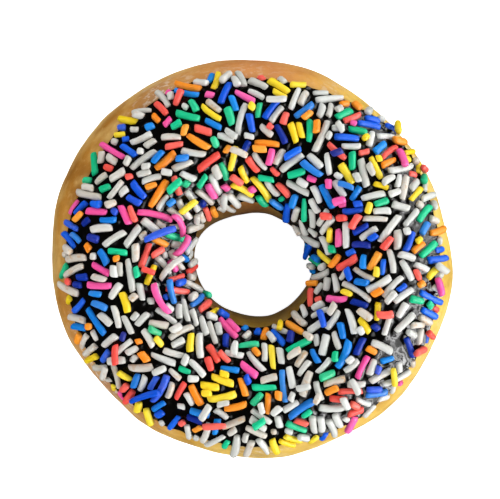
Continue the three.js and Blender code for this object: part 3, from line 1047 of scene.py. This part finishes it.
class DOUGHNUT_OT_sprinkles(bpy.types.Operator):
    """Strew the sprinkles, one piece for each colour"""
    bl_idname = "doughnut.sprinkles"
    bl_label = "Sprinkles"

    def execute(self, context):
        meshes = sprinkle_meshes()
        for name, _, colour, lighter in KINDS:
            new_piece(f"sprinkles_{name}", meshes[name], sugar_rod(name, colour, lighter),
                      f"{name}_sprinkle", "frosting")
        return {"FINISHED"}


def softbox(name, place, wide, tall, power, mirrored=False):
    """A softbox that faces the doughnut, either to light it or only to be mirrored in it."""
    data = bpy.data.lights.new(name, "AREA")
    data.shape, data.size, data.size_y, data.energy = "RECTANGLE", wide, tall, power
    light = placed(name, data)
    light.location = place
    light.rotation_euler = (-Vector(place)).to_track_quat("-Z", "Y").to_euler()
    light.visible_camera = False
    light.visible_diffuse = not mirrored
    light.visible_glossy = mirrored


def panes():
    """A curved row of tall softboxes and a high one, which the frosting and the sugar mirror."""
    for number, (degrees, power) in enumerate(PANES):
        side = math.radians(degrees)
        place = (PANE_AWAY * math.cos(side), PANE_AWAY * math.sin(side), PANE_UP)
        softbox(f"pane_{number}", place, PANE_WIDE, PANE_TALL, power, mirrored=True)
    softbox(*PANES_HIGH, mirrored=True)


def pale_ground():
    """The floor, which neither lights the doughnut nor shows in its gloss."""
    bm = bmesh.new()
    bmesh.ops.create_grid(bm, x_segments=1, y_segments=1, size=FLOOR_HALF)
    mesh = meshed("floor", bm)
    mesh.materials.append(pale_floor())
    floor = placed("floor", mesh)
    floor.location.z = -FLOOR_DROP
    floor.visible_diffuse = False
    floor.visible_glossy = False


def overhead_camera():
    """A camera straight above, a little aside of the ring's axis."""
    data = bpy.data.cameras.new("overhead")
    data.sensor_width = SENSOR
    data.lens = SENSOR * (CAMERA_UP - size("waist_height") * MM) / (FRAME_WIDTH * PIXEL)
    data.clip_start = 0.01
    camera = placed("overhead", data)
    camera.location = (CAMERA_ASIDE[0] * PIXEL, CAMERA_ASIDE[1] * PIXEL, CAMERA_UP)
    bpy.context.scene.camera = camera


class DOUGHNUT_OT_stage(bpy.types.Operator):
    """Set up the floor, the soft lights and the camera straight above"""
    bl_idname = "doughnut.stage"
    bl_label = "Stage"

    def execute(self, context):
        pale_ground()
        for row in SOFTBOXES:
            softbox(*row)
        panes()
        world = bpy.data.worlds.new("Dim studio")
        world.use_nodes = True
        feed(world.node_tree, world.node_tree.nodes["Background"],
             {"Color": (1, 1, 1, 1), "Strength": WORLD_STRENGTH})
        context.scene.world = world
        context.scene.view_settings.view_transform = "Standard"
        overhead_camera()
        return {"FINISHED"}


class DOUGHNUT_PT_panel(bpy.types.Panel):
    """Sizes, colours and pieces of the doughnut"""
    bl_idname = "DOUGHNUT_PT_panel"
    bl_label = "Doughnut"
    bl_space_type = "VIEW_3D"
    bl_region_type = "UI"
    bl_category = "Doughnut"

    def draw(self, context):
        for group in (context.scene.doughnut_sizes, context.scene.doughnut_colours):
            box = self.layout.box()
            for name in group.__annotations__:
                box.prop(group, name)
        for operator in OPERATORS:
            self.layout.operator(operator.bl_idname)


OPERATORS = (DOUGHNUT_OT_dough, DOUGHNUT_OT_frosting, DOUGHNUT_OT_sprinkles, DOUGHNUT_OT_stage)
CLASSES = (DoughnutSizes, DoughnutColours, *OPERATORS, DOUGHNUT_PT_panel)


def register():
    for kind in CLASSES:
        bpy.utils.register_class(kind)
    bpy.types.Scene.doughnut_sizes = bpy.props.PointerProperty(type=DoughnutSizes)
    bpy.types.Scene.doughnut_colours = bpy.props.PointerProperty(type=DoughnutColours)


def unregister():
    del bpy.types.Scene.doughnut_sizes, bpy.types.Scene.doughnut_colours
    for kind in reversed(CLASSES):
        bpy.utils.unregister_class(kind)


def main():
    register()
    bpy.ops.doughnut.dough()
    bpy.ops.doughnut.frosting()
    bpy.ops.doughnut.sprinkles()
    bpy.ops.doughnut.stage()


if __name__ == "__main__":
    main()
